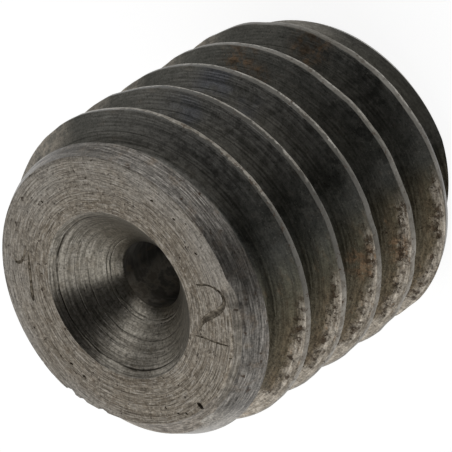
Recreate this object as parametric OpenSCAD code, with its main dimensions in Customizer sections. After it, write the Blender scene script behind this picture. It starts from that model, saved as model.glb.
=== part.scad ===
// Throttle screw: a headless threaded plug with a calibrated orifice.
// It stands on its socket end, so the axis is +Z and the countersunk face is on top.
// All sizes are in millimetres.

/* [Thread] */
// Major diameter over the crests
thread_d = 5.88; // [5.8:0.02:6.0]
// Distance from one crest to the next
pitch = 1; // [0.9:0.05:1.1]
// Angle between the two flanks, in degrees
flank_angle = 60; // [58:1:62]
// Width of the flat on the crest
crest_flat = 0.125; // [0.08:0.005:0.16]
// Radius that rounds the root of the groove
root_r = 0.144; // [0.1:0.002:0.16]

/* [Body] */
// Length from end to end
length = 6; // [5.5:0.1:8]
// Diameter of the flat front face inside its chamfer
face_d = 5; // [4.6:0.05:5.2]
// Slope of the front chamfer, measured from the face, in degrees
face_chamfer_angle = 65; // [45:1:70]
// Diameter of the flat ring at the socket end
end_d = 5.2; // [4.6:0.05:5.3]
// Slope of the chamfer at the socket end, measured from the end, in degrees
end_chamfer_angle = 65; // [45:1:70]

/* [Throttle] */
// Diameter of the calibrated orifice
orifice_d = 1.2; // [0.8:0.05:1.6]
// Diameter of the countersink where it opens in the face
sink_d = 3; // [2.4:0.05:3.4]
// Full angle of the countersink, in degrees
sink_angle = 90; // [80:1:100]

/* [Socket] */
// Width of the hexagon across its flats
socket_af = 3; // [2.9:0.05:3.1]
// Depth of the hexagon below the end
socket_depth = 2.5; // [2:0.1:2.8]
// Diameter of the lead-in countersink at the socket mouth
lead_d = 3.6; // [3.5:0.05:3.8]
// Full angle of the lead-in countersink, in degrees
lead_angle = 120; // [110:5:130]
// Full angle of the drill point below the hexagon, in degrees
drill_angle = 118; // [110:1:130]

/* [Hidden] */
$fn = 96;
// Steps around one turn of the thread
turn_steps = 72;
// Corners that round the root of the groove
root_corners = 4;
// Turns of thread left on the bar past each end, before the ends are trimmed
spare_turns = 1.1;
// How far a cutting shape reaches past the face that it opens
past = 0.5;
// How far the turned outline clears the crests, so that it trims the ends alone
crest_clearance = 0.05;

thread_r = thread_d / 2;
bore_r = orifice_d / 2;
drill_r = socket_af / 2;

// The root arc touches both flanks, this far from its middle and this far below the crest.
flank_slope = tan(flank_angle / 2);
root_swing = 90 - flank_angle / 2;
touch_out = root_r * sin(root_swing);
touch_depth = (pitch / 2 - crest_flat / 2 - touch_out) / flank_slope;

// Corners of one pitch of the thread's section, from below a crest to the end of the root.
// Each corner is [radius, height], and heights count from the middle of the crest.
crest_corners = [[thread_r, -crest_flat / 2], [thread_r, crest_flat / 2]];
root_corner_points = [
    for (k = [0 : root_corners - 1])
        let (a = root_swing * (2 * k / (root_corners - 1) - 1))
        [
            thread_r - touch_depth - root_r * (cos(a) - cos(root_swing)),
            pitch / 2 + root_r * sin(a)
        ]
];
section = concat(crest_corners, root_corner_points);
corners = len(section);

// A crest crosses the +X side at height 0, so turn 0 starts there.
first_turn = -spare_turns;
steps = ceil((length / pitch + 2 * spare_turns) * turn_steps);
last_turn = first_turn + steps / turn_steps;

// One corner of the section, carried up the right-hand helix to a step.
function helix_point(step, corner) =
    let (turn = first_turn + step / turn_steps)
    [
        section[corner][0] * cos(360 * turn),
        section[corner][0] * sin(360 * turn),
        section[corner][1] + pitch * turn
    ];

// Past its last corner, the section goes on with the first corner one turn later.
function point_id(step, corner) =
    corner < corners ? step * corners + corner : (step + turn_steps) * corners;

// Triangles from a tip on the axis to each edge of a closed rim.
function fan(tip, rim) = [
    for (i = [0 : len(rim) - 1]) [tip, rim[i], rim[(i + 1) % len(rim)]]
];

// A bar with the right-hand thread on it, longer than the screw at both ends.
module thread_bar() {
    helix_points = [
        for (step = [0 : steps], corner = [0 : corners - 1]) helix_point(step, corner)
    ];
    low_tip = [0, 0, pitch * (first_turn + 0.5)];
    high_tip = [0, 0, pitch * last_turn];
    low_tip_id = len(helix_points);
    high_tip_id = low_tip_id + 1;

    surface = [
        for (step = [0 : steps - 1], corner = [0 : corners - 1])
            if (corner < corners - 1 || step < steps - turn_steps)
                let (
                    a = point_id(step, corner),
                    b = point_id(step, corner + 1),
                    c = point_id(step + 1, corner + 1),
                    d = point_id(step + 1, corner)
                )
                each [[a, b, c], [a, c, d]]
    ];
    low_rim = concat(
        [for (step = [0 : turn_steps]) point_id(step, 0)],
        [for (corner = [corners - 1 : -1 : 1]) point_id(0, corner)]
    );
    high_rim = concat(
        [for (step = [steps : -1 : steps - turn_steps]) point_id(step, corners - 1)],
        [for (corner = [0 : corners - 2]) point_id(steps, corner)]
    );
    polyhedron(
        concat(helix_points, [low_tip], [high_tip]),
        concat(surface, fan(low_tip_id, low_rim), fan(high_tip_id, high_rim))
    );
}

// The turned outline: both flat ends and both chamfers, wider than the thread between them.
module turned_blank() {
    end_r = end_d / 2;
    face_r = face_d / 2;
    wide_r = thread_r + crest_clearance;
    end_rise = (wide_r - end_r) * tan(end_chamfer_angle);
    face_drop = (wide_r - face_r) * tan(face_chamfer_angle);
    rotate_extrude()
        polygon([
            [0, 0],
            [end_r, 0],
            [wide_r, end_rise],
            [wide_r, length - face_drop],
            [face_r, length],
            [0, length]
        ]);
}

// The calibrated hole, from the drill point of the socket to the countersink.
module orifice() {
    translate([0, 0, socket_depth])
        cylinder(r = bore_r, h = length - socket_depth + past);
}

// A cone that opens upwards from its tip on the axis, with its mouth at a height.
module cone_below(mouth_z, mouth_d, angle) {
    slope = tan(angle / 2);
    tip_z = mouth_z - mouth_d / 2 / slope;
    translate([0, 0, tip_z])
        cylinder(r1 = 0, r2 = (mouth_z - tip_z + past) * slope, h = mouth_z - tip_z + past);
}

module countersink() {
    cone_below(length, sink_d, sink_angle);
}

// The hexagon with its lead-in, and the drill point at its bottom.
module hex_socket() {
    translate([0, 0, -past])
        cylinder(d = socket_af / cos(30), h = socket_depth + past, $fn = 6);
    mirror([0, 0, 1])
        cone_below(0, lead_d, lead_angle);
    translate([0, 0, socket_depth])
        cylinder(r1 = drill_r, r2 = 0, h = drill_r / tan(drill_angle / 2));
}

module throttle_screw() {
    color("dimgray")
        intersection() {
            thread_bar();
            difference() {
                turned_blank();
                orifice();
                countersink();
                hex_socket();
            }
        }
}

throttle_screw();
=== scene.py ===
"""A throttle screw of dark turned steel, standing on its socket end on a pale floor."""
import math

import bmesh
import bpy
import numpy as np
from mathutils import Matrix, Vector, noise


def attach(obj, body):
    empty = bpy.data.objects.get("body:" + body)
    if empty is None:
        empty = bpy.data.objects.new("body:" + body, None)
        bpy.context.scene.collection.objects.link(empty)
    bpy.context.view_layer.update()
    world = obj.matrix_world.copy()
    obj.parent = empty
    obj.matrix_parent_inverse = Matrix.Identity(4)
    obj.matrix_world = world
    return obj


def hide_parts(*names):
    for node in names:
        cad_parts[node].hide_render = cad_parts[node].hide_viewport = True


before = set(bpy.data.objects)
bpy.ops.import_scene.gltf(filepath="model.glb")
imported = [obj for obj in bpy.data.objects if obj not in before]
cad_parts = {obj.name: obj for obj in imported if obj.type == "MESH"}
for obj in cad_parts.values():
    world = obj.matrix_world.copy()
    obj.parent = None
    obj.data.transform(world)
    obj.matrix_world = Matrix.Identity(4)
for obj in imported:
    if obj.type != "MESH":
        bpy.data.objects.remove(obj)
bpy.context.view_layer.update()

MM = 0.001

# ------------------------------------------------------------ sizes, in millimetres
LENGTH = 6.0
CREST_R = 2.94
PITCH = 1.0
CREST_FLAT = 0.125
FLANK_SLOPE = math.tan(math.radians(30))
ROOT_R = 0.144
ROOT_SWING = math.radians(60)
FACE_R = 2.5
END_R = 2.6
CHAMFER_SLOPE = math.tan(math.radians(65))
SINK_R = 1.5
BORE_R = 0.6
HEX_R = 1.5
SOCKET_DEPTH = 2.5
LEAD_R = 1.8
LEAD_SLOPE = math.tan(math.radians(60))
DRILL_SLOPE = math.tan(math.radians(59))

# The turned outline is wider than the crests, so that it trims the ends alone
WIDE_R = 2.99

# Wear of the crests: radii that round their two edges, and the depth of chips and dents
FRONT_ROUND = 0.022
FRONT_VARIES = 0.014
FRONT_WORN = 0.105
FRONT_LIMITS = (0.015, 0.15)
BACK_ROUND = 0.020
BACK_VARIES = 0.010
BACK_LIMITS = (0.008, 0.05)
CHIP_DEPTH = 0.05
DENT_DEPTH = 0.014
SWELL_DEPTH = 0.010
CHIP_REACH = 0.16

# The worn bevel of the rim, where the first groove runs out, and its stretch in degrees
BEVEL_IN = 0.015
BEVEL_DROP = 0.125
BEVEL_START = (140.0, 190.0)
BEVEL_END = (265.0, 257.0)

# Grid of the thread and of the turned surfaces
TURN_STEPS = 360
LATHE_STEPS = 360
SPARE_TURNS = 1.1
EDGE_TURN = 60.0
EDGE_POINTS = 5
FLANK_SHARES = (0.22, 0.44, 0.66, 0.86)
ROOT_POINTS = 7
SHARP_ANGLE = math.radians(28)

# Points closer than this are joined after the cuts
SLIVER = 0.0001

# Camera and light directions, in the frame's own axes
CAMERA_PLACE = Vector((10.340, -54.603, 56.933))
CAMERA_FORWARD = Vector((-0.13330, 0.70532, -0.69624)).normalized()
CAMERA_UP = Vector((0.89871, -0.21012, -0.38492)).normalized()
CAMERA_LENS = 362.53
SENSOR = 36.0

# The dark opening of the light tent, as seen from the screw, and its soft edges
OPENING_ACROSS = -0.05
OPENING_WIDTH = 1.0
OPENING_DOWN = 0.05
OPENING_HEIGHT = 0.54
OPENING_LEVEL = 0.04
OPENING_EDGE = (0.86, 1.14)
OPENING_AHEAD = (-0.15, 0.10)

# The side of the tent that is less bright: along the camera's right and up, span and level
DIM_RIGHT = -0.95
DIM_UP = 0.15
DIM_SPAN = (0.35, 0.95)
DIM_LEVEL = 0.55

# The floor: its glow toward the camera, its colour in the light and its colour when seen
FLOOR_REACH = 2.0
FLOOR_GLOW = 0.88
FLOOR_LIT = (0.75, 0.75, 0.75)
FLOOR_SEEN = (0.30, 0.30, 0.30)
WHITE = (1.0, 1.0, 1.0)

# Sides of the thread that are worn brown and pale, as angles round the axis
WORN_ANGLE = 197.0
PALE_ANGLE = 5.0

# Cutter lines in the countersink: radius, half width, darkness
RING_LINES = (
    (1.390, 0.014, 0.90),
    (0.800, 0.010, 0.60),
    (0.755, 0.012, 0.75),
    (1.180, 0.009, 0.40),
    (1.020, 0.009, 0.45),
)

# Patches on the thread: x, y, z of the middle, and radius
RUST_PATCHES = (
    (2.19, -1.69, 1.06, 0.55),
    (2.51, -1.04, 2.13, 0.50),
    (2.16, -1.38, 2.19, 0.30),
    (-1.54, -2.39, 1.78, 0.45),
    (-1.30, -2.45, 2.84, 0.50),
    (0.40, 2.60, 3.60, 0.60),
    (-1.20, 2.30, 1.50, 0.50),
)
BLUE_PATCHES = (
    (2.38, -1.28, 3.12, 0.60),
    (2.05, -1.58, 3.16, 0.60),
    (2.20, -1.30, 4.17, 0.60),
    (1.60, 2.00, 2.30, 0.80),
)

# The plain figures stamped in the face, 1 and 2: strokes of (x, y, half width)
FIGURE_DEPTH = 0.028
FULL_HALF_WIDTH = 0.035
LEAST_HALF_WIDTH = 0.006
GROOVE_SPREAD = 1.12
GROOVE_TALL = 1.5
GROOVE_RAISED = 0.5
FIGURE_STROKES = (
    ((1.295, 1.532, 0.010), (1.182, 1.606, 0.018), (1.070, 1.750, 0.028), (1.045, 1.850, 0.030),
     (1.080, 1.900, 0.026), (1.136, 1.897, 0.012)),
    ((1.199, 1.517, 0.010), (1.020, 1.610, 0.024), (0.863, 1.685, 0.030), (0.640, 1.800, 0.032),
     (0.470, 1.880, 0.040), (0.390, 1.917, 0.034), (0.340, 1.935, 0.012)),
    ((-0.190, -1.800, 0.008), (-0.217, -1.884, 0.020), (-0.246, -2.011, 0.018),
     (-0.306, -2.118, 0.018), (-0.382, -2.200, 0.022), (-0.460, -2.239, 0.028),
     (-0.553, -2.245, 0.034), (-0.633, -2.204, 0.040), (-0.690, -2.113, 0.050),
     (-0.730, -1.998, 0.058), (-0.755, -1.841, 0.062), (-0.777, -1.705, 0.058),
     (-0.815, -1.590, 0.044), (-0.880, -1.500, 0.020), (-0.950, -1.400, 0.010)),
    ((-1.000, -1.290, 0.008), (-1.025, -1.333, 0.018), (-1.089, -1.463, 0.017),
     (-1.170, -1.583, 0.019), (-1.260, -1.745, 0.020), (-1.328, -1.880, 0.012)),
)

# Pits in the face, and the last six nick its rim: x, y, size, and turn in degrees
FACE_PITS = (
    (-2.17, -0.68, 0.060, 30.0), (-2.28, -0.80, 0.030, 10.0),
    (-0.88, 1.75, 0.030, 60.0), (-1.16, 1.59, 0.035, 20.0), (-0.70, 1.90, 0.022, 0.0),
    (-2.24, -0.30, 0.028, 50.0), (-2.20, -0.12, 0.024, 70.0), (-2.05, 0.10, 0.022, 15.0),
    (-1.55, -1.80, 0.030, 40.0), (-1.72, -1.70, 0.022, 75.0), (1.90, 0.70, 0.022, 30.0),
    (1.35, -1.70, 0.026, 65.0), (0.95, -1.98, 0.022, 25.0), (2.05, -0.50, 0.020, 90.0),
    (0.30, -2.10, 0.024, 45.0), (-0.10, 2.20, 0.022, 10.0),
    (-1.02, 2.30, 0.045, 25.0), (-1.36, 2.06, 0.080, 33.0), (-1.55, 1.87, 0.045, 40.0),
    (-1.84, 1.54, 0.070, 50.0), (-2.02, 1.28, 0.040, 58.0),
    (-0.72, 2.41, 0.030, 80.0),
)
PIT_LONG = 1.5
PIT_SHORT = 0.8
PIT_ROUGH = 0.45

# Material slots of the mesh
FACE, CHAMFER, CONE, BORE, FLANK, CREST, SOCKET, STAMP = range(8)


# ------------------------------------------------------------ shading graphs

class Value:
    """The output of a shader node. Arithmetic on it adds math nodes to its graph."""

    def __init__(self, graph, socket):
        self.graph = graph
        self.socket = socket

    def __add__(self, other):
        return self.graph.math("ADD", self, other)

    def __sub__(self, other):
        return self.graph.math("SUBTRACT", self, other)

    def __rsub__(self, other):
        return self.graph.math("SUBTRACT", other, self)

    def __mul__(self, other):
        return self.graph.math("MULTIPLY", self, other)


class Graph:
    """Writes shader nodes as short expressions of numbers, values and sockets."""

    def __init__(self, tree):
        self.tree = tree
        tree.nodes.clear()

    def node(self, kind, **settings):
        made = self.tree.nodes.new(kind)
        for name, value in settings.items():
            setattr(made, name, value)
        return made

    def put(self, socket, value):
        if isinstance(value, Value):
            value = value.socket
        if isinstance(value, bpy.types.NodeSocket):
            self.tree.links.new(value, socket)
        elif isinstance(value, (tuple, list)) and len(value) == 3 and socket.type == "RGBA":
            socket.default_value = (*value, 1.0)
        else:
            socket.default_value = value

    def fill(self, node, **values):
        for name, value in values.items():
            self.put(node.inputs[name], value)

    def shown(self, shader, kind="Material"):
        """Makes a shader what the material or the world shows."""
        output = self.node("ShaderNodeOutput" + kind)
        self.fill(output, Surface=shader.outputs[0])

    def math(self, operation, first, second=0.0, third=None):
        made = self.node("ShaderNodeMath", operation=operation)
        self.put(made.inputs[0], first)
        self.put(made.inputs[1], second)
        if third is not None:
            self.put(made.inputs[2], third)
        return Value(self, made.outputs[0])

    def larger(self, first, second):
        return self.math("MAXIMUM", first, second)

    def vector(self, operation, first, second=(0.0, 0.0, 0.0)):
        made = self.node("ShaderNodeVectorMath", operation=operation)
        self.put(made.inputs[0], first)
        self.put(made.inputs[1], second)
        return Value(self, made.outputs["Value" if operation in ("DOT_PRODUCT", "LENGTH") else 0])

    def scaled(self, vector, factor):
        made = self.node("ShaderNodeVectorMath", operation="SCALE")
        self.put(made.inputs[0], vector)
        self.put(made.inputs["Scale"], factor)
        return made.outputs[0]

    def joined(self, x, y, z):
        made = self.node("ShaderNodeCombineXYZ")
        for socket, value in zip(made.inputs, (x, y, z)):
            self.put(socket, value)
        return made.outputs[0]

    def split(self, vector):
        made = self.node("ShaderNodeSeparateXYZ")
        self.put(made.inputs[0], vector)
        return [Value(self, output) for output in made.outputs]

    def ramp(self, value, low, high, out_low=0.0, out_high=1.0):
        """A smooth step from out_low to out_high, as value goes from low to high."""
        made = self.node("ShaderNodeMapRange", interpolation_type="SMOOTHSTEP")
        for name, number in (
            ("Value", value), ("From Min", low), ("From Max", high),
            ("To Min", out_low), ("To Max", out_high),
        ):
            self.put(made.inputs[name], number)
        return Value(self, made.outputs[0])

    def noise(self, vector, scale=1.0, detail=2.0, roughness=0.5):
        made = self.node("ShaderNodeTexNoise")
        self.fill(made, Vector=vector, Scale=scale, Detail=detail, Roughness=roughness)
        return Value(self, made.outputs[0])

    def mix(self, share, first, second):
        made = self.node("ShaderNodeMix", data_type="RGBA")
        self.put(made.inputs[0], share)
        self.put(made.inputs[6], first)
        self.put(made.inputs[7], second)
        return made.outputs[2]

    def stained(self, colour, tint, mask, low, high, share=1.0):
        """The colour with a share of tint on it, where the mask goes from low to high."""
        return self.mix(self.ramp(mask, low, high, 0.0, share), colour, tint)

    def bump(self, height, distance):
        made = self.node("ShaderNodeBump")
        self.fill(made, Strength=1.0, Distance=distance, Height=height)
        return made.outputs[0]


class Steel(Graph):
    """A steel material: its colour so far, and coordinates round the axis in millimetres."""

    def __init__(self, name):
        self.material = bpy.data.materials.new(name)
        self.material.use_nodes = True
        super().__init__(self.material.node_tree)
        place = self.node("ShaderNodeTexCoord").outputs["Object"]
        self.place = self.scaled(place, 1.0 / MM)
        self.x, self.y, self.z = self.split(self.place)
        flat = self.joined(self.x, self.y, 0.0)
        self.radius = self.vector("LENGTH", flat)
        self.around = self.vector("NORMALIZE", flat)

    def grain(self, scale, detail, roughness):
        return self.noise(self.place, scale, detail, roughness)

    def turned(self, along, stretch, fineness, seed=0.0, detail=2.0, roughness=0.5):
        """Noise drawn out round the axis: along is the coordinate across the marks."""
        across = self.math("MULTIPLY_ADD", along, fineness, seed)
        wound = self.vector("ADD", self.scaled(self.around, stretch), self.joined(0.0, 0.0, across))
        return self.noise(wound, 1.0, detail, roughness)

    def stain(self, tint, mask, low, high, share=1.0):
        self.colour = self.stained(self.colour, tint, mask, low, high, share)

    def cover(self, share, tint):
        self.colour = self.mix(share, self.colour, tint)

    def mark(self, along, amount, seed):
        """Puts fine light and dark marks over all of the colour."""
        streaks = self.turned(along, 16.0, 26.0, seed, 2.0, 0.6)
        specks = self.grain(27.0, 2.0, 0.6)
        both = streaks + specks - 1.0
        factor = both * amount + 1.0
        self.colour = self.scaled(self.colour, self.larger(factor, 0.25))

    def side(self, angle, low, high):
        """1 on the side of the screw that faces an angle round the axis, 0 away from it.

        low and high are the cosines of the turns away from it where the fade ends and starts.
        """
        facing = (math.cos(math.radians(angle)), math.sin(math.radians(angle)), 0.0)
        return self.ramp(self.vector("DOT_PRODUCT", self.around, facing), low, high)

    def patches(self, places, breakup):
        """Soft round patches at places of (x, y, z, radius), broken up by a noise."""
        share = 0.0
        for x, y, z, reach in places:
            away = self.vector("LENGTH", self.vector("SUBTRACT", self.place, (x, y, z)))
            share = self.larger(share, self.ramp(away, reach, reach * 0.3))
        return share * self.ramp(breakup, 0.4, 0.6)

    def finish(self, roughness, normal, anisotropy=0.0, metallic=1.0, turn=0.0):
        shader = self.node("ShaderNodeBsdfPrincipled")
        self.put(shader.inputs["Base Color"], self.colour)
        self.fill(shader, Roughness=roughness, Metallic=metallic, Normal=normal)
        if anisotropy:
            self.fill(shader, Anisotropic=anisotropy)
            self.put(shader.inputs["Anisotropic Rotation"], turn)
            tangent = self.node("ShaderNodeTangent", direction_type="RADIAL", axis="Z")
            self.fill(shader, Tangent=tangent.outputs[0])
        self.shown(shader)
        return self.material


# ------------------------------------------------------------ materials

def face_steel():
    """The faced end: fine turning rings under a brown and cream speckle, with pits."""
    steel = Steel("turned_face")
    ring_dark = (0.152, 0.130, 0.102)
    ring_pale = (0.390, 0.348, 0.288)
    brown = (0.190, 0.152, 0.111)
    tan = (0.200, 0.165, 0.120)
    rim_grey = (0.375, 0.357, 0.328)
    cream = (0.525, 0.475, 0.400)
    dark_speck = (0.080, 0.062, 0.046)
    pale_streak = (0.520, 0.487, 0.437)
    dark_streak = (0.065, 0.053, 0.041)
    bevel_grey = (0.125, 0.118, 0.105)
    pit_brown = (0.050, 0.036, 0.026)

    rings = steel.turned(steel.radius, 1.4, 40.0, 3.0, 3.0, 0.75)
    streaks = steel.turned(steel.radius, 7.0, 58.0, 9.0, 2.0)
    speckle = steel.grain(15.0, 3.0, 0.75)
    mottle = steel.grain(5.0, 4.0, 0.65)
    broad = steel.grain(1.1, 3.0, 0.6)
    pits = steel.turned(steel.radius, 16.0, 10.0, 5.0, 2.0, 0.6)
    steel.colour = steel.mix(steel.ramp(rings, 0.36, 0.64), ring_dark, ring_pale)
    steel.stain(brown, mottle, 0.46, 0.66, 0.55)
    steel.stain(tan, broad, 0.48, 0.62, 0.3)

    # Paler and greyer toward the rim, on one side more than on the other
    rim = steel.ramp(steel.radius, 1.6, 2.25) * steel.side(10.0, -0.1, 0.7)
    edge = steel.ramp(steel.radius, 2.05, 2.46) * steel.side(75.0, -0.3, 0.6)
    rim = steel.larger(rim * 0.7, edge)
    lower = steel.ramp(steel.radius, 1.85, 2.3) * steel.side(298.0, 0.6, 0.95)
    rim = steel.larger(rim, lower * 0.8)
    rim = rim * steel.ramp(broad, 0.66, 0.4, 0.5, 1.0)
    steel.cover(rim * 0.75, rim_grey)

    steel.stain(cream, speckle, 0.53, 0.68, 0.65)
    steel.stain(dark_speck, speckle, 0.47, 0.32, 0.7)
    steel.stain(pale_streak, streaks, 0.54, 0.68, 0.6)
    steel.stain(dark_streak, streaks, 0.45, 0.3, 0.65)
    steel.stain(bevel_grey, steel.z, LENGTH - 0.004, LENGTH - 0.06, 0.55)
    steel.stain(pit_brown, pits, 0.66, 0.73, 0.85)
    steel.mark(steel.radius, 1.1, 71.0)
    height = rings + streaks * 0.8 + speckle * 0.6 - steel.ramp(pits, 0.66, 0.73, 0.0, 2.0)
    return steel.finish(0.42, steel.bump(height, 0.0000045))


def chamfer_steel():
    """The turned slope round the face: grey with long fine lines, a painted dark reflection on two
    sides, and bare worn metal with a painted highlight on one.
    """
    steel = Steel("turned_chamfer")
    line_dark = (0.075, 0.070, 0.064)
    line_pale = (0.205, 0.192, 0.174)
    grain_grey = (0.230, 0.212, 0.188)
    bright_line = (0.360, 0.340, 0.310)
    black_line = (0.045, 0.041, 0.036)
    brown = (0.150, 0.122, 0.095)
    pit_black = (0.040, 0.025, 0.016)
    reflection_grey = (0.050, 0.047, 0.042)
    bare_highlight_metal = (0.420, 0.390, 0.340)

    lines = steel.turned(steel.z, 1.4, 30.0, 1.0, 3.0, 0.8)
    fine = steel.turned(steel.z, 7.0, 60.0, 4.0)
    mottle = steel.grain(3.5, 4.0, 0.65)
    grain = steel.grain(26.0, 2.0, 0.6)
    pits = steel.turned(steel.z, 14.0, 9.0, 6.0, 2.0, 0.6)
    steel.colour = steel.mix(steel.ramp(lines, 0.38, 0.64), line_dark, line_pale)
    steel.stain(grain_grey, grain, 0.4, 0.66, 0.35)
    steel.stain(bright_line, fine, 0.55, 0.7, 0.75)
    steel.stain(black_line, fine, 0.44, 0.3, 0.6)
    steel.stain(brown, mottle, 0.5, 0.68, 0.55)
    steel.stain(pit_black, pits, 0.65, 0.73, 0.85)
    # Painted dark reflection on two sides of the chamfer
    dark_reflection = steel.larger(steel.side(350.0, 0.93, 1.0), steel.side(264.0, 0.96, 1.0))
    steel.cover(dark_reflection * 0.45, reflection_grey)
    # Bare worn metal with a painted highlight, where the chamfer turns out of sight
    bare = steel.side(187.0, 0.95, 1.0) * steel.ramp(grain, 0.36, 0.6, 0.2, 0.6)
    steel.cover(bare, bare_highlight_metal)
    steel.mark(steel.z, 1.4, 73.0)
    height = lines + fine * 0.5
    return steel.finish(0.34, steel.bump(height, 0.0000030), 0.5)


def cutter_grooves(steel):
    """Dark rings in the countersink, which wander a little and fade in places."""
    wander = (steel.noise(steel.around, 3.0) - 0.5) * 0.03
    place = steel.radius + wander
    grooves = 0.0
    for radius, half_width, depth in RING_LINES:
        away = steel.math("ABSOLUTE", place - radius)
        line = steel.ramp(away, half_width, half_width * 0.3, 0.0, depth)
        grooves = steel.larger(grooves, line)
    broken = steel.ramp(steel.grain(1.7, 3.0, 0.6), 0.36, 0.58, 0.25, 1.0)
    return grooves * broken


def cone_steel():
    """The countersink: ring lines left by the cutter, a few that are deep and dark, and painted
    highlight sectors.
    """
    steel = Steel("countersink_steel")
    ring_dark = (0.120, 0.109, 0.090)
    ring_pale = (0.290, 0.268, 0.230)
    inner_pale = (0.400, 0.370, 0.310)
    brown = (0.150, 0.125, 0.092)
    sector_highlight_metal = (0.520, 0.480, 0.410)
    bright_line = (0.380, 0.355, 0.315)
    dark_grain = (0.080, 0.068, 0.053)
    groove_black = (0.030, 0.026, 0.020)

    rings = steel.turned(steel.radius, 0.9, 26.0, 11.0, 3.0, 0.8)
    fine = steel.turned(steel.radius, 5.0, 60.0, 15.0)
    grain = steel.grain(24.0, 2.0, 0.6)
    mottle = steel.grain(4.0, 3.0, 0.6)
    steel.colour = steel.mix(steel.ramp(rings, 0.38, 0.62), ring_dark, ring_pale)
    steel.stain(inner_pale, steel.radius, 1.45, 0.62, 0.45)
    steel.stain(brown, mottle, 0.5, 0.68, 0.35)
    # Painted highlight: pale metal in sectors on three sides, and near the hole on one side
    highlight_sectors = steel.larger(steel.side(141.0, 0.97, 1.0), steel.side(207.0, 0.8, 0.93))
    inner_highlight = steel.ramp(steel.radius, 1.0, 0.72) * steel.side(215.0, 0.3, 0.9)
    highlight_sectors = steel.larger(highlight_sectors, inner_highlight)
    highlight_sectors = highlight_sectors * steel.ramp(rings, 0.42, 0.58, 0.15, 0.6)
    steel.cover(highlight_sectors, sector_highlight_metal)
    steel.stain(bright_line, fine, 0.56, 0.72, 0.65)
    steel.stain(dark_grain, grain, 0.44, 0.3, 0.5)
    grooves = cutter_grooves(steel)
    steel.cover(grooves, groove_black)
    steel.mark(steel.radius, 1.4, 75.0)
    height = rings + fine * 0.5 - grooves * 1.5
    return steel.finish(0.32, steel.bump(height, 0.0000040), 0.7, turn=0.25)


def bore_steel():
    """The orifice: dark, with a little brown, and a painted highlight on one side of its wall."""
    steel = Steel("orifice_steel")
    ring_dark = (0.080, 0.075, 0.066)
    ring_pale = (0.170, 0.160, 0.142)
    highlight_metal = (0.620, 0.570, 0.490)
    brown = (0.210, 0.172, 0.125)

    rings = steel.turned(steel.z, 2.5, 14.0, 21.0)
    rust = steel.grain(4.0, 4.0, 0.65)
    # Painted highlight: pale metal on one side of the wall, broken up by a noise
    painted_highlight = steel.side(116.0, 0.72, 1.0) * steel.ramp(rust, 0.4, 0.58, 0.25, 1.0)
    steel.colour = steel.mix(steel.ramp(rings, 0.35, 0.7), ring_dark, ring_pale)
    steel.cover(painted_highlight, highlight_metal)
    steel.stain(brown, rust, 0.52, 0.62, 0.6)
    return steel.finish(0.60, steel.bump(rings, 0.0000015), metallic=0.4)


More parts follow.
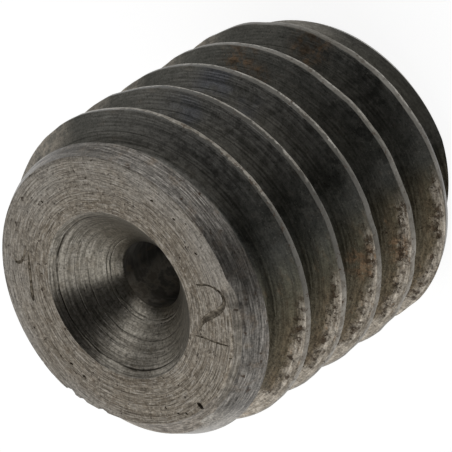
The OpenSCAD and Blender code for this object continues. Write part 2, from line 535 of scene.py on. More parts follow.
class ThreadSteel(Steel):
    """The thread: dark and mottled, browner and worn pale beside the crests on one side, with
    painted light on the pale worn metal and painted highlights along the outline and at the far
    end.
    """

    def __init__(self):
        super().__init__("thread_steel")
        self.broad = self.grain(1.3, 4.0, 0.6)
        self.mottle = self.grain(6.0, 5.0, 0.7)
        self.lines = self.turned(self.radius, 1.3, 32.0, 31.0, 2.0, 0.6)
        self.fine = self.turned(self.radius, 9.0, 30.0, 35.0, 3.0, 0.6)
        self.speckle = self.grain(15.0, 4.0, 0.7)
        self.depth = CREST_R - self.radius
        worn_side = self.side(WORN_ANGLE - 4.0, 0.42, 0.97)
        low_side = self.side(216.0, 0.66, 0.9) * self.ramp(self.z, 3.6, 2.2, 0.0, 0.8)
        self.worn_side = self.larger(worn_side, low_side)
        # The side where the thread turns out of the camera's sight, where the painted light on the
        # worn metal reaches further
        hidden_side = self.side(95.0, 0.0, 0.17) * self.side(150.0, 0.35, 0.97)
        self.hidden_side = hidden_side * self.ramp(self.mottle, 0.36, 0.6, 0.55, 1.0)
        self.past_edge = self.depth - self.worn_reach()
        self.pit_share = self.pits_beside_edge()

    def worn_reach(self):
        """How far below the crest the pale worn metal, with its painted light, goes."""
        wander = self.grain(2.6, 4.0, 0.65) - 0.5
        reach = self.math("MULTIPLY_ADD", self.worn_side, 0.13, 0.040)
        reach = reach + wander * 0.26
        taper = self.larger(self.side(180.0, 0.92, 1.0), self.hidden_side) * 0.55
        reach = reach + taper
        return reach + (self.fine - 0.5) * 0.1

    def pits_beside_edge(self):
        """Small pits, most of them along the lower edge of the worn metal."""
        pits = self.grain(8.0, 4.0, 0.74)
        beside = self.ramp(self.math("ABSOLUTE", self.past_edge), 0.12, 0.02)
        beside = beside * self.ramp(pits, 0.51, 0.59)
        share = self.larger(beside, self.ramp(pits, 0.62, 0.67, 0.0, 0.8))
        return share * self.ramp(self.worn_side, 0.0, 0.5, 0.15, 0.9)

    def base_colour(self):
        """Dark mottled steel, smoky on the upper side and paler on the right."""
        steel_dark = (0.050, 0.051, 0.046)
        steel_grey = (0.112, 0.112, 0.101)
        mottled_grey = (0.155, 0.150, 0.133)
        smoke_dark = (0.170, 0.165, 0.152)
        smoke_pale = (0.300, 0.292, 0.270)
        smoke_shadow = (0.095, 0.093, 0.084)
        pale_grey = (0.180, 0.174, 0.150)

        self.colour = self.mix(self.ramp(self.broad, 0.35, 0.68), steel_dark, steel_grey)
        self.stain(mottled_grey, self.mottle, 0.46, 0.66, 0.55)
        smoky = self.mix(self.ramp(self.lines, 0.4, 0.6), smoke_dark, smoke_pale)
        smoky = self.stained(smoky, smoke_shadow, self.mottle, 0.52, 0.4, 0.5)
        upper = self.side(320.0, 0.7, 0.97) * self.ramp(self.z, 2.0, 3.4, 0.25, 0.85)
        self.cover(upper, smoky)
        pale_side = self.side(PALE_ANGLE, 0.55, 1.0)
        self.cover(pale_side * 0.4, pale_grey)

    def tint_patches(self):
        """Blue-grey patches, a painted highlight of pale metal at the far right, and olive and
        brown below.
        """
        blue_dark = (0.075, 0.080, 0.096)
        blue_pale = (0.215, 0.226, 0.258)
        far_highlight_metal = (0.460, 0.410, 0.340)
        olive_dark = (0.045, 0.043, 0.026)
        olive_pale = (0.110, 0.105, 0.070)
        worn_brown = (0.088, 0.072, 0.046)

        blue = self.patches(BLUE_PATCHES, self.broad)
        tint = self.mix(self.ramp(self.lines, 0.4, 0.62), blue_dark, blue_pale)
        self.cover(blue * 0.7, tint)
        # Painted highlight: pale metal near the crests at the far right, along the outline
        far_highlight = self.side(28.0, 0.88, 0.99) * self.ramp(self.mottle, 0.4, 0.56, 0.25, 0.8)
        far_highlight = far_highlight * self.ramp(self.broad, 0.34, 0.52, 0.3, 1.0)
        far_highlight = far_highlight * self.ramp(self.radius, CREST_R - 0.55, CREST_R - 0.2)
        self.cover(far_highlight, far_highlight_metal)
        olive = self.mix(self.ramp(self.lines, 0.42, 0.58), olive_dark, olive_pale)
        self.cover(self.side(236.0, 0.86, 0.98) * 0.6, olive)
        self.cover(self.worn_side * 0.75, worn_brown)

    def dust(self):
        """Fine grain, and grains of pale and dark dirt."""
        grain_grey = (0.210, 0.200, 0.180)
        pale_dust = (0.320, 0.300, 0.260)
        dark_dust = (0.020, 0.017, 0.013)

        grain = self.grain(22.0, 3.0, 0.7)
        self.stain(grain_grey, grain, 0.6, 0.72, 0.45)
        dust = self.grain(36.0, 1.0, 0.5)
        self.stain(pale_dust, dust, 0.7, 0.76, 0.4)
        self.stain(dark_dust, dust, 0.34, 0.27, 0.6)

    def scratch(self):
        """Scratches that run round, in the lower half of the flank."""
        pale_scratch = (0.210, 0.195, 0.165)
        dark_scratch = (0.026, 0.025, 0.020)

        scratched_side = self.ramp(self.side(PALE_ANGLE - 25.0, 0.5, 0.95), 0.0, 1.0, 0.5, 1.0)
        near_root = self.ramp(self.radius, CREST_R - 0.15, CREST_R - 0.45)
        scratch = near_root * self.ramp(self.lines, 0.52, 0.68, 0.1, 0.45)
        self.cover(scratch * scratched_side, pale_scratch)
        scratch = near_root * self.ramp(self.lines, 0.46, 0.32, 0.0, 0.6)
        self.cover(scratch * scratched_side, dark_scratch)

    def wear_down(self):
        """Brown below the crest on the worn side, then pale and bare metal: real wear, with painted
        light on the pale band.
        """
        tan_dark = (0.085, 0.064, 0.040)
        tan_pale = (0.185, 0.142, 0.092)
        worn_lit_dark = (0.225, 0.195, 0.155)
        worn_lit_pale = (0.415, 0.376, 0.320)
        worn_line = (0.140, 0.116, 0.086)
        worn_speck = (0.105, 0.083, 0.058)

        brown = self.worn_side * self.ramp(self.depth, 0.48, 0.2)
        brown = brown * self.ramp(self.mottle, 0.38, 0.58, 0.25, 0.8)
        tan = self.mix(self.ramp(self.fine, 0.38, 0.6), tan_dark, tan_pale)
        self.cover(brown, tan)
        # Worn metal with painted light: a pale band below the crest on the worn side
        wear = self.ramp(self.past_edge, 0.085, -0.07)
        wear = wear * self.ramp(self.worn_side, 0.02, 0.5)
        pale = self.mix(self.ramp(self.fine, 0.32, 0.68), worn_lit_dark, worn_lit_pale)
        pale = self.stained(pale, worn_line, self.lines, 0.48, 0.34, 0.5)
        pale = self.stained(pale, worn_speck, self.speckle, 0.46, 0.32, 0.6)
        self.cover(wear, pale)

    def bare_edge_highlight(self):
        """The brightest metal, where the worn side turns out of the camera's sight: bare worn metal
        with a painted highlight.
        """
        metal_dark = (0.310, 0.268, 0.212)
        metal_pale = (0.500, 0.454, 0.388)
        metal_line = (0.560, 0.515, 0.445)
        metal_speck = (0.130, 0.104, 0.075)

        # Painted highlight on bare worn metal near the crests, where the thread turns out of sight
        bare_highlight_side = self.larger(self.side(181.0, 0.91, 1.0), self.hidden_side * 0.8)
        bare = bare_highlight_side * self.ramp(self.radius, CREST_R - 0.5, CREST_R - 0.15)
        metal = self.mix(self.ramp(self.fine, 0.3, 0.7), metal_dark, metal_pale)
        metal = self.stained(metal, metal_line, self.lines, 0.54, 0.66, 0.4)
        metal = self.stained(metal, metal_speck, self.speckle, 0.46, 0.36, 0.6)
        self.cover(bare * 0.65, metal)

    def rust_patches(self):
        """Rust in patches and specks, and the brown pits beside the worn metal."""
        rust_dark = (0.072, 0.051, 0.033)
        rust_pale = (0.235, 0.153, 0.092)
        pit_brown = (0.050, 0.034, 0.021)

        rust = self.turned(self.radius, 9.0, 8.0, 39.0, 4.0, 0.7)
        spots = self.ramp(rust, 0.56, 0.68) * self.ramp(self.broad, 0.4, 0.6)
        spots = spots * self.ramp(self.worn_side, 0.0, 0.4, 0.12, 0.6)
        rusty = self.larger(self.patches(RUST_PATCHES, self.mottle), spots)
        tint = self.mix(self.ramp(rust, 0.42, 0.62), rust_dark, rust_pale)
        self.cover(rusty * 0.85, tint)
        self.cover(self.pit_share, pit_brown)

    def end_steel(self):
        """Painted light at the far end, as paler steel and a bright rim, and bright metal where the
        first groove runs out.
        """
        end_light_grey = (0.260, 0.253, 0.230)
        end_highlight_metal = (0.520, 0.490, 0.440)
        run_out_dark = (0.115, 0.098, 0.078)
        run_out_pale = (0.300, 0.268, 0.230)

        # Painted light: paler steel and a painted highlight at the far end, on two sides
        low_end = self.ramp(self.z, 1.0, 0.5) * self.side(312.0, 0.6, 0.85)
        self.cover(low_end * 0.55, end_light_grey)
        low_rim = self.ramp(self.z, 1.0, 0.6) * self.side(356.0, 0.8, 0.99)
        self.cover(low_rim * 0.75, end_highlight_metal)
        run_out = self.ramp(self.z, LENGTH - 0.42, LENGTH - 0.22) * 0.85
        bright = self.mix(self.ramp(self.fine, 0.36, 0.64), run_out_dark, run_out_pale)
        self.cover(run_out, bright)

    def finished(self):
        self.base_colour()
        self.tint_patches()
        self.dust()
        self.scratch()
        self.wear_down()
        self.bare_edge_highlight()
        self.rust_patches()
        self.end_steel()
        amount = self.ramp(self.worn_side, 0.0, 1.0, 0.9, 1.7)
        self.mark(self.radius, amount, 61.0)
        height = self.mottle + self.lines * 0.5 + self.fine * 0.5 - self.pit_share
        roughness = self.ramp(self.mottle, 0.35, 0.65, 0.38, 0.52)
        return self.finish(roughness, self.bump(height, 0.0000060))


def crest_front(steel, wear, mottle):
    """1 on the front part of the land, with a ragged border along its middle."""
    turn = steel.math("ARCTAN2", steel.y, steel.x)
    rise = turn * (PITCH / (2.0 * math.pi))
    across = steel.z - rise
    across = steel.math("FRACT", across + 0.5) - 0.5
    ragged = (mottle - 0.5) * 0.14
    ragged = ragged + (wear - 0.5) * 0.2
    ragged = ragged - steel.ramp(steel.z, 3.4, 5.0, 0.0, 0.04)
    return steel.ramp(across + ragged, -0.04, -0.01)


def crest_painted_shade(steel):
    """How far painted shade dims the land toward the far end and at the lower side."""
    far_end = steel.side(340.0, 0.7, 0.96) * steel.ramp(steel.z, 2.6, 0.8, 0.0, 0.6)
    pale_end = steel.side(4.0, 0.93, 1.0) * steel.ramp(steel.z, 3.8, 0.8, 0.0, 0.8)
    low_side = steel.side(194.0, 0.94, 1.0) * steel.ramp(steel.z, 4.4, 2.6, 0.0, 0.5)
    dim = steel.larger(steel.larger(far_end, pale_end), low_side)
    dim = steel.larger(dim, steel.side(236.0, 0.92, 1.0) * 0.3)
    return steel.math("MINIMUM", dim, 0.80)


def crest_steel():
    """The crests: a narrow pale land, brown and pitted on the worn side, with painted shade over
    part of the land and on some sides.
    """
    steel = Steel("crest_steel")
    land_dark = (0.220, 0.207, 0.182)
    land_pale = (0.430, 0.410, 0.372)
    stain_pale = (0.210, 0.192, 0.162)
    stain_dark = (0.085, 0.070, 0.052)
    brown_patch = (0.110, 0.090, 0.066)
    brown_dark = (0.150, 0.126, 0.096)
    brown_pale = (0.300, 0.275, 0.235)
    pale_grain = (0.400, 0.380, 0.345)
    dark_grain = (0.070, 0.054, 0.038)
    land_shade_dark = (0.058, 0.056, 0.049)
    shade_dark = (0.060, 0.058, 0.052)
    land_shade_brown = (0.098, 0.090, 0.076)
    speck_brown = (0.050, 0.030, 0.018)

    wear = steel.grain(1.4, 3.0, 0.6)
    mottle = steel.grain(9.0, 4.0, 0.7)
    grain = steel.turned(steel.z, 20.0, 14.0, 51.0, 3.0, 0.6)
    pits = steel.grain(8.0, 4.0, 0.80)
    worn_side = steel.side(WORN_ANGLE, 0.3, 0.95)
    steel.colour = steel.mix(steel.ramp(wear, 0.38, 0.62), land_dark, land_pale)
    upper = steel.side(312.0, 0.66, 0.92) * steel.ramp(steel.z, 3.2, 4.6, 0.0, 0.75)
    stain = steel.mix(steel.ramp(mottle, 0.42, 0.6), stain_pale, stain_dark)
    steel.cover(upper, stain)
    steel.stain(brown_patch, mottle, 0.54, 0.68, 0.6)
    brown = steel.mix(steel.ramp(mottle, 0.58, 0.42), brown_dark, brown_pale)
    steel.cover(worn_side * 0.8, brown)
    steel.stain(pale_grain, grain, 0.54, 0.7, 0.5)
    steel.stain(dark_grain, grain, 0.42, 0.28, 0.6)
    # Painted shade over part of the land's width, on one side of the screw
    front = crest_front(steel, wear, mottle) * steel.side(328.0, 0.25, 0.72)
    front = front * steel.ramp(steel.z, 1.2, 4.0, 0.65, 0.95)
    steel.cover(front, land_shade_dark)
    shaded = steel.side(262.0, 0.9, 0.99) * steel.ramp(steel.z, 1.6, 3.2, 0.5, 0.8)
    steel.cover(shaded, shade_dark)
    # Painted shade on the land toward the far end and at the lower side
    steel.cover(crest_painted_shade(steel), land_shade_brown)
    specks = steel.ramp(pits, 0.58, 0.63) * steel.ramp(worn_side, 0.0, 1.0, 0.7, 0.9)
    steel.cover(specks, speck_brown)
    return steel.finish(0.42, steel.bump(grain, 0.0000060))


def stamp_steel():
    """The floor of the stamped figures and of the pits: brown-grey, and darker where deep."""
    steel = Steel("stamped_steel")
    floor_dark = (0.095, 0.078, 0.056)
    floor_pale = (0.300, 0.260, 0.202)
    deep_brown = (0.048, 0.036, 0.025)

    grain = steel.grain(14.0, 3.0, 0.6)
    steel.colour = steel.mix(steel.ramp(grain, 0.38, 0.62), floor_dark, floor_pale)
    steel.stain(deep_brown, steel.z, LENGTH - 0.018, LENGTH - 0.032, 0.8)
    return steel.finish(0.55, steel.bump(grain, 0.0000050), metallic=0.8)


def socket_steel():
    """The hexagon socket: fine streaks with a little brown."""
    steel = Steel("socket_steel")
    streak_dark = (0.110, 0.103, 0.090)
    streak_pale = (0.190, 0.180, 0.158)
    brown = (0.110, 0.085, 0.060)

    streaks = steel.turned(steel.z, 2.0, 6.0, 41.0)
    mottle = steel.grain(4.0, 4.0, 0.65)
    steel.colour = steel.mix(steel.ramp(streaks, 0.35, 0.7), streak_dark, streak_pale)
    steel.stain(brown, mottle, 0.5, 0.7, 0.6)
    return steel.finish(0.42, steel.bump(streaks, 0.0000040))


def floor_surface():
    """A pale floor that keeps the shadow and glows just enough to be seen as white."""
    material = bpy.data.materials.new("pale_floor")
    material.use_nodes = True
    graph = Graph(material.node_tree)
    rays = graph.node("ShaderNodeLightPath").outputs
    seen = graph.larger(rays["Is Camera Ray"], rays["Is Glossy Ray"])
    seen = graph.larger(seen, rays["Is Transmission Ray"])
    diffuse = graph.node("ShaderNodeBsdfDiffuse")
    graph.fill(diffuse, Color=graph.mix(seen, FLOOR_LIT, FLOOR_SEEN))
    glow = graph.node("ShaderNodeEmission")
    graph.fill(glow, Color=WHITE, Strength=seen * FLOOR_GLOW)
    both = graph.node("ShaderNodeAddShader")
    graph.put(both.inputs[0], diffuse.outputs[0])
    graph.put(both.inputs[1], glow.outputs[0])
    graph.shown(both)
    return material


# ------------------------------------------------------------ geometry

def smoothstep(low, high, value):
    share = np.clip((value - low) / (high - low), 0.0, 1.0)
    return share * share * (3.0 - 2.0 * share)


def loop_noise(turns, cycles, seed):
    """Noise along the helix, with about so many cycles a turn."""
    places = np.asarray(turns) * cycles
    return np.array([noise.noise(Vector((p, seed * 7.13, seed * 3.71))) for p in places])


def placed(name, data):
    """An object of the scene that shows the data."""
    obj = bpy.data.objects.new(name, data)
    bpy.context.scene.collection.objects.link(obj)
    return obj


def mesh_object(name, points, faces, slots):
    """An object from points in mm, faces, and the material slot of each face."""
    mesh = bpy.data.meshes.new(name)
    mesh.from_pydata([tuple(p) for p in points], [], faces)
    for material in MATERIALS:
        mesh.materials.append(material)
    mesh.polygons.foreach_set("material_index", np.array(slots, dtype=np.int32))
    mesh.update()
    return placed(name, mesh)


def edge_rows(radius, side):
    """Rows that round one edge of the crest, from its flat to its flank, as arrays."""
    half = CREST_FLAT / 2
    start = half - radius * math.tan(math.radians(EDGE_TURN / 2))
    rows = []
    for swing in np.linspace(0.0, EDGE_TURN, EDGE_POINTS):
        angle = math.radians(swing)
        depth = radius * (1 - math.cos(angle))
        rows.append((CREST_R - depth, side * (start + radius * math.sin(angle))))
    return rows


def thread_rows(front, back):
    """One pitch of the thread's section: rows of [radius, height] arrays, and their slots.

    front and back are the radii that round the two edges of the crest, one a step.
    """
    flat = np.ones_like(front)
    touch_out = ROOT_R * math.sin(ROOT_SWING)
    half = CREST_FLAT / 2
    touch_depth = (PITCH / 2 - half - touch_out) / FLANK_SLOPE
    rows = []
    kinds = []
    for radius, height in reversed(edge_rows(back, -1)):
        rows.append((radius, height))
        kinds.append(CREST)
    for radius, height in edge_rows(front, 1):
        rows.append((radius, height))
        kinds.append(CREST)
    kinds[-1] = FLANK
    kinds[-2] = FLANK
    start_depth = front / 2
    for share in FLANK_SHARES:
        depth = start_depth + (touch_depth - start_depth) * share
        rows.append((CREST_R - depth, half + depth * FLANK_SLOPE))
        kinds.append(FLANK)
    for swing in np.linspace(-ROOT_SWING, ROOT_SWING, ROOT_POINTS):
        depth = touch_depth + ROOT_R * (math.cos(swing) - math.cos(ROOT_SWING))
        rows.append(((CREST_R - depth) * flat, (PITCH / 2 + ROOT_R * math.sin(swing)) * flat))
        kinds.append(FLANK)
    end_depth = back / 2
    for share in reversed(FLANK_SHARES):
        depth = end_depth + (touch_depth - end_depth) * share
        rows.append((CREST_R - depth, PITCH - half - depth * FLANK_SLOPE))
        kinds.append(FLANK)
    return rows, kinds


def crest_drop(turns, worn, depth):
    """How far chips, dents and a slow swell take the crest down, at each point."""
    near_crest = smoothstep(CHIP_REACH, 0.0, depth)
    chips = np.clip(loop_noise(turns, 23.0, 3) - 0.18, 0.0, 1.0) * (CHIP_DEPTH + CHIP_DEPTH * worn)
    chips = chips + np.clip(loop_noise(turns, 61.0, 4), 0.0, 1.0) * DENT_DEPTH
    swell = 0.5 + 0.5 * loop_noise(turns, 2.3, 5)
    return (chips + SWELL_DEPTH * swell)[:, None] * near_crest


def thread_bar():
    """A bar with the right-hand thread on it, longer than the screw at both ends."""
    first_turn = -SPARE_TURNS
    steps = math.ceil((LENGTH / PITCH + 2 * SPARE_TURNS) * TURN_STEPS)
    turns = first_turn + np.arange(steps + 1) / TURN_STEPS
    angles = 2 * math.pi * turns

    # Section k of the bar rides on step k, so the rounding can change along the thread
    worn = 0.5 + 0.5 * np.cos(angles - math.radians(WORN_ANGLE))
    worn = smoothstep(0.55, 1.0, worn)
    front = FRONT_ROUND + FRONT_VARIES * loop_noise(turns, 5.0, 1) + FRONT_WORN * worn
    back = BACK_ROUND + BACK_VARIES * loop_noise(turns, 7.0, 2)
    rows, kinds = thread_rows(np.clip(front, *FRONT_LIMITS), np.clip(back, *BACK_LIMITS))
    corners = len(rows)
    radii = np.stack([radius for radius, height in rows], axis=1)
    heights = np.stack([height for radius, height in rows], axis=1) + PITCH * turns[:, None]
    radii = np.minimum(radii - crest_drop(turns, worn, CREST_R - radii), CREST_R)

    points = np.stack([
        radii * np.cos(angles)[:, None],
        radii * np.sin(angles)[:, None],
        heights,
    ], axis=2).reshape(-1, 3)
    tips = np.array([
        [0.0, 0.0, PITCH * (first_turn + 0.5)],
        [0.0, 0.0, PITCH * turns[-1]],
    ])

    def point_id(step, corner):
        if corner < corners:
            return step * corners + corner
        return (step + TURN_STEPS) * corners

    faces = []
    slots = []
    for step in range(steps):
        for corner in range(corners):
            if corner < corners - 1 or step < steps - TURN_STEPS:
                faces.append((
                    point_id(step, corner), point_id(step + 1, corner),
                    point_id(step + 1, corner + 1), point_id(step, corner + 1),
                ))
                same = kinds[corner] == kinds[(corner + 1) % corners]
                slots.append(kinds[corner] if same else FLANK)
    low_rim = [point_id(step, 0) for step in range(TURN_STEPS + 1)]
    low_rim += [point_id(0, corner) for corner in range(corners - 1, 0, -1)]
    high_rim = [point_id(step, corners - 1) for step in range(steps, steps - TURN_STEPS - 1, -1)]
    high_rim += [point_id(steps, corner) for corner in range(corners - 1)]
    for tip, rim in ((len(points), low_rim), (len(points) + 1, high_rim)):
        for here, there in zip(rim, rim[1:] + rim[:1]):
            faces.append((tip, there, here))
            slots.append(FLANK)
    return mesh_object("thread_bar", np.vstack([points, tips]), faces, slots)


class Lathe:
    """A closed shape turned from rows of points, each with the slot of the band above it."""

    def __init__(self):
        self.angles = 2 * math.pi * np.arange(LATHE_STEPS) / LATHE_STEPS
        self.rows = []
        self.kinds = []
        degrees = np.degrees(self.angles)
        turns = np.arange(LATHE_STEPS) / LATHE_STEPS
        bevel = smoothstep(*BEVEL_END, degrees) * smoothstep(*BEVEL_START, degrees)
        rough = 1.0 + 0.25 * loop_noise(turns, 34.0, 6) + 0.15 * loop_noise(turns, 90.0, 7)
        self.bevel = bevel * rough

    def ring(self, radius, height, kind, share=0.0):
        """A row of points; share is how far the worn bevel of the rim draws it in."""
        around = np.ones(LATHE_STEPS)
        self.rows.append((
            radius * around - BEVEL_IN * share * self.bevel,
            height * around - BEVEL_DROP * share * self.bevel,
        ))
        self.kinds.append(kind)

    def made(self, name):
        points = []
        for radius, height in self.rows:
            across = radius * np.cos(self.angles)
            beside = radius * np.sin(self.angles)
            points.append(np.stack([across, beside, height], axis=1))
        faces = []
        slots = []
        count = len(self.rows)
        for row in range(count):
            after = (row + 1) % count
            for step in range(LATHE_STEPS):
                beside = (step + 1) % LATHE_STEPS
                faces.append((
                    row * LATHE_STEPS + step, after * LATHE_STEPS + step,
                    after * LATHE_STEPS + beside, row * LATHE_STEPS + beside,
                ))
                slots.append(self.kinds[row])
        return mesh_object(name, np.vstack(points), faces, slots)


def turn_outside(lathe):
    """The face, its worn rim and chamfer, and the chamfer and ring of the socket end."""
    for radius in (1.53, 1.8, 2.15, 2.35):
        lathe.ring(radius, LENGTH, FACE)
    lathe.ring(2.42, LENGTH, FACE, 0.50)
    lathe.ring(FACE_R - 0.022, LENGTH - 0.001, FACE, 0.95)
    lathe.ring(FACE_R - 0.004, LENGTH - 0.008, CHAMFER, 1.0)
    lathe.ring(FACE_R + 0.006, LENGTH - 0.030, CHAMFER, 0.95)
    lathe.ring(FACE_R + 0.060, LENGTH - 0.060 * CHAMFER_SLOPE, CHAMFER, 0.48)
    lathe.ring(FACE_R + 0.120, LENGTH - 0.120 * CHAMFER_SLOPE, CHAMFER)
    for radius in (2.7, 2.8, 2.9, WIDE_R):
        lathe.ring(radius, LENGTH - (radius - FACE_R) * CHAMFER_SLOPE, CHAMFER)
    for radius in (WIDE_R, 2.9, 2.8, 2.7):
        lathe.ring(radius, (radius - END_R) * CHAMFER_SLOPE, CHAMFER)
    lathe.ring(END_R + 0.008, 0.022, CHAMFER)
    lathe.ring(END_R - 0.010, 0.0, FACE)
    lathe.ring(2.2, 0.0, FACE)


def turn_socket(lathe):
    """The lead-in cone, the hexagon that it meets, and the drill point."""
    hexagon = HEX_R / np.cos(lathe.angles % (math.pi / 3) - math.pi / 6)
    lead_height = (LEAD_R - hexagon) / LEAD_SLOPE
    lathe.ring(LEAD_R + 0.02, 0.0, SOCKET)
    lathe.ring(LEAD_R, 0.006, SOCKET)
    lathe.ring((hexagon + LEAD_R) / 2, lead_height / 2 + 0.003, SOCKET)
    for share in (0.0, 0.25, 0.5, 0.75, 1.0):
        lathe.ring(hexagon, lead_height + (SOCKET_DEPTH - lead_height) * share, SOCKET)
    drill_height = SOCKET_DEPTH + (HEX_R - BORE_R) / DRILL_SLOPE
    # A hair inside and above the end of the hexagon, so that the two rows never meet
    lathe.ring(HEX_R * 0.999, SOCKET_DEPTH + 0.0005, SOCKET)
    lathe.ring((HEX_R + BORE_R) / 2, (SOCKET_DEPTH + drill_height) / 2, SOCKET)
    lathe.ring(BORE_R, drill_height, BORE)
    return drill_height


def turn_throttle(lathe, drill_height):
    """The orifice, up from the drill point, and the countersink."""
    sink_floor = LENGTH - (SINK_R - BORE_R)
    for share in (0.33, 0.66):
        lathe.ring(BORE_R, drill_height + (sink_floor - drill_height) * share, BORE)
    lathe.ring(BORE_R, sink_floor - 0.015, CONE)
    lathe.ring(BORE_R + 0.010, sink_floor + 0.012, CONE)
    for radius in (0.8, 1.0, 1.2, 1.4):
        lathe.ring(radius, LENGTH - (SINK_R - radius), CONE)
    lathe.ring(SINK_R - 0.012, LENGTH - 0.014, CONE)
    lathe.ring(SINK_R + 0.005, LENGTH - 0.002, FACE)


def turned_blank():
    """The ends, the chamfers, the orifice, the countersink and the hexagon socket, in one."""
    lathe = Lathe()
    turn_outside(lathe)
    drill_height = turn_socket(lathe)
    turn_throttle(lathe, drill_height)
    return lathe.made("turned_blank")


def combine(obj, tool, operation):
    """obj becomes its intersection with tool or what tool leaves of it, and tool goes."""
    modifier = obj.modifiers.new("combine", "BOOLEAN")
    modifier.operation = operation
    modifier.solver = "MANIFOLD"
    modifier.object = tool
    depsgraph = bpy.context.evaluated_depsgraph_get()
    result = bpy.data.meshes.new_from_object(obj.evaluated_get(depsgraph))
    obj.modifiers.clear()
    obj.data = result
    bpy.data.objects.remove(tool)
    return obj


def merge_slivers(obj):
    """Joins the points that the cuts left almost on top of each other."""
    work = bmesh.new()
    work.from_mesh(obj.data)
    bmesh.ops.remove_doubles(work, verts=work.verts, dist=SLIVER)
    bmesh.ops.dissolve_degenerate(work, dist=SLIVER, edges=work.edges)
    bmesh.ops.triangulate(work, faces=[face for face in work.faces if len(face.verts) > 4])
    bmesh.ops.dissolve_degenerate(work, dist=SLIVER, edges=work.edges)
    work.to_mesh(obj.data)
    work.free()


def smooth_path(path, pieces=5):
    """Catmull-Rom points through rows of (x, y, half width)."""
    points = np.array(path)
    points = np.vstack([2 * points[0] - points[1], points, 2 * points[-1] - points[-2]])
    made = []
    for k in range(1, len(points) - 2):
        before, start, end, after = points[k - 1:k + 3]
        for step in range(pieces):
            t = step / pieces
            made.append(0.5 * (
                2 * start + (end - before) * t
                + (2 * before - 5 * start + 4 * end - after) * t ** 2
                + (3 * start - before - 3 * end + after) * t ** 3
            ))
    made.append(points[-2])
    return np.array(made)


def stroke_tool(path):
    """A closed tube that cuts one rounded groove into the face along a path."""
    sides = 10
    path = smooth_path(path)
    middle = path[:, :2]
    half = np.maximum(path[:, 2], LEAST_HALF_WIDTH)
    along = np.gradient(middle, axis=0)
    along /= np.linalg.norm(along, axis=1)[:, None]
    beside = np.stack([-along[:, 1], along[:, 0]], axis=1)
    depth = FIGURE_DEPTH * np.minimum(half / FULL_HALF_WIDTH, 1.0)
    points = []
    for k in range(sides):
        angle = 2 * math.pi * k / sides
        out = math.cos(angle)
        down = math.sin(angle)
        spread = half * GROOVE_SPREAD * out
        height = LENGTH + depth * (down * GROOVE_TALL + GROOVE_RAISED)
        points.append(np.column_stack([middle + beside * spread[:, None], height]))
    points = np.stack(points, axis=1).reshape(-1, 3)
    faces = []
    for row in range(len(path) - 1):
        for k in range(sides):
            beyond = (k + 1) % sides
            here = row * sides
            there = here + sides
            faces.append((here + k, here + beyond, there + beyond, there + k))
    faces.append(tuple(range(sides - 1, -1, -1)))
    last = (len(path) - 1) * sides
    faces.append(tuple(range(last, last + sides)))
    return points, faces


def pit_tool(x, y, size, turn):
    """A small irregular blob that cuts one pit into the face."""
    rows = 5
    columns = 9
    tilt = math.radians(turn)
    points = [(x, y, LENGTH + size)]
    for row in range(1, rows):
        polar = math.pi * row / rows
        for column in range(columns):
            angle = 2 * math.pi * column / columns
            rough = 1.0 + PIT_ROUGH * noise.noise(Vector((column * 1.7, row * 2.3, x * 9.0 + y)))
            wide = size * math.sin(polar) * rough
            over = wide * PIT_LONG * math.cos(angle)
            up = wide * PIT_SHORT * math.sin(angle)
            points.append((
                x + over * math.cos(tilt) - up * math.sin(tilt),
                y + over * math.sin(tilt) + up * math.cos(tilt),
                LENGTH + size * math.cos(polar),
            ))
    points.append((x, y, LENGTH - size))
    faces = []
    for column in range(columns):
        beside = (column + 1) % columns
        faces.append((0, 1 + column, 1 + beside))
        low = 1 + (rows - 2) * columns
        faces.append((len(points) - 1, low + beside, low + column))
        for row in range(rows - 2):
            here = 1 + row * columns
            there = here + columns
            faces.append((here + column, there + column, there + beside, here + beside))
    return points, faces


def joined_tool(solids):
    """One cutting object from several closed solids."""
    points = []
    faces = []
    for solid_points, solid_faces in solids:
        shift = len(points)
        points.extend(tuple(point) for point in solid_points)
        faces.extend(tuple(corner + shift for corner in face) for face in solid_faces)
    return mesh_object("tool", points, faces, [STAMP] * len(faces))


# ------------------------------------------------------------ the screw

MATERIALS = [
    face_steel(), chamfer_steel(), cone_steel(), bore_steel(),
    ThreadSteel().finished(), crest_steel(), socket_steel(), stamp_steel(),
]
screw = combine(turned_blank(), thread_bar(), "INTERSECT")
tools = [stroke_tool(stroke) for stroke in FIGURE_STROKES]
tools += [pit_tool(*pit) for pit in FACE_PITS]
combine(screw, joined_tool(tools), "DIFFERENCE")
merge_slivers(screw)
screw.name = "screw"
screw.data.transform(Matrix.Scale(MM, 4))
screw.data.polygons.foreach_set("use_smooth", [True] * len(screw.data.polygons))
screw.data.set_sharp_from_angle(angle=SHARP_ANGLE)
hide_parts("throttle_screw")
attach(screw, "root")

# ------------------------------------------------------------ floor, light and camera

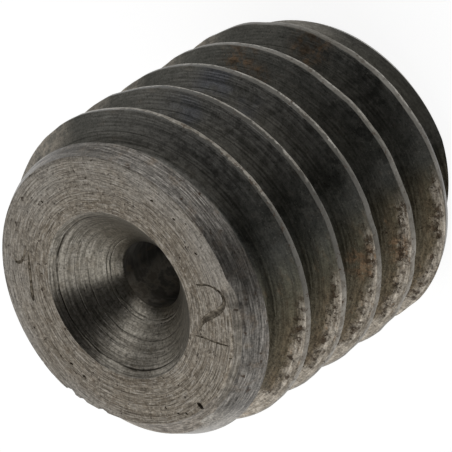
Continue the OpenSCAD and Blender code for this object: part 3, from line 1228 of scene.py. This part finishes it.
def make_floor():
    mesh = bpy.data.meshes.new("floor")
    corners = [
        (-FLOOR_REACH, -FLOOR_REACH, 0.0), (FLOOR_REACH, -FLOOR_REACH, 0.0),
        (FLOOR_REACH, FLOOR_REACH, 0.0), (-FLOOR_REACH, FLOOR_REACH, 0.0),
    ]
    mesh.from_pydata(corners, [], [(0, 1, 2, 3)])
    mesh.materials.append(floor_surface())
    placed("floor", mesh)


def make_light():
    """Soft white light from all round, with a dark opening where the camera looks in."""
    world = bpy.data.worlds.new("studio")
    bpy.context.scene.world = world
    world.use_nodes = True
    graph = Graph(world.node_tree)
    toward = graph.vector("NORMALIZE", graph.node("ShaderNodeTexCoord").outputs["Generated"])
    right = CAMERA_FORWARD.cross(CAMERA_UP)
    across = graph.vector("DOT_PRODUCT", toward, tuple(right))
    down = graph.vector("DOT_PRODUCT", toward, tuple(-CAMERA_UP))
    ahead = graph.vector("DOT_PRODUCT", toward, tuple(CAMERA_FORWARD))
    wide = graph.math("DIVIDE", across - OPENING_ACROSS, OPENING_WIDTH)
    high = graph.math("DIVIDE", down - OPENING_DOWN, OPENING_HEIGHT)
    reach = graph.vector("LENGTH", graph.joined(wide, high, 0.0))
    clear = graph.larger(graph.ramp(reach, *OPENING_EDGE), graph.ramp(ahead, *OPENING_AHEAD))
    dim_side = tuple((right * DIM_RIGHT + CAMERA_UP * DIM_UP).normalized())
    dim = graph.ramp(graph.vector("DOT_PRODUCT", toward, dim_side), *DIM_SPAN, 1.0, DIM_LEVEL)
    level = graph.ramp(clear, 0.0, 1.0, OPENING_LEVEL, 1.0) * dim
    background = graph.node("ShaderNodeBackground")
    graph.fill(background, Color=WHITE, Strength=level)
    graph.shown(background, "World")


def make_camera():
    """The camera of the photograph, placed in the frame's own axes."""
    data = bpy.data.cameras.new("camera")
    data.lens = CAMERA_LENS
    data.sensor_width = SENSOR
    data.clip_start = 0.001
    data.clip_end = 10.0
    camera = placed("camera", data)
    right = CAMERA_FORWARD.cross(CAMERA_UP).normalized()
    up = right.cross(CAMERA_FORWARD)
    turn = Matrix((right, up, -CAMERA_FORWARD)).transposed().to_4x4()
    camera.matrix_world = Matrix.Translation(CAMERA_PLACE * MM) @ turn
    bpy.context.scene.camera = camera


make_floor()
make_light()
make_camera()
bpy.context.scene.view_settings.view_transform = "Standard"
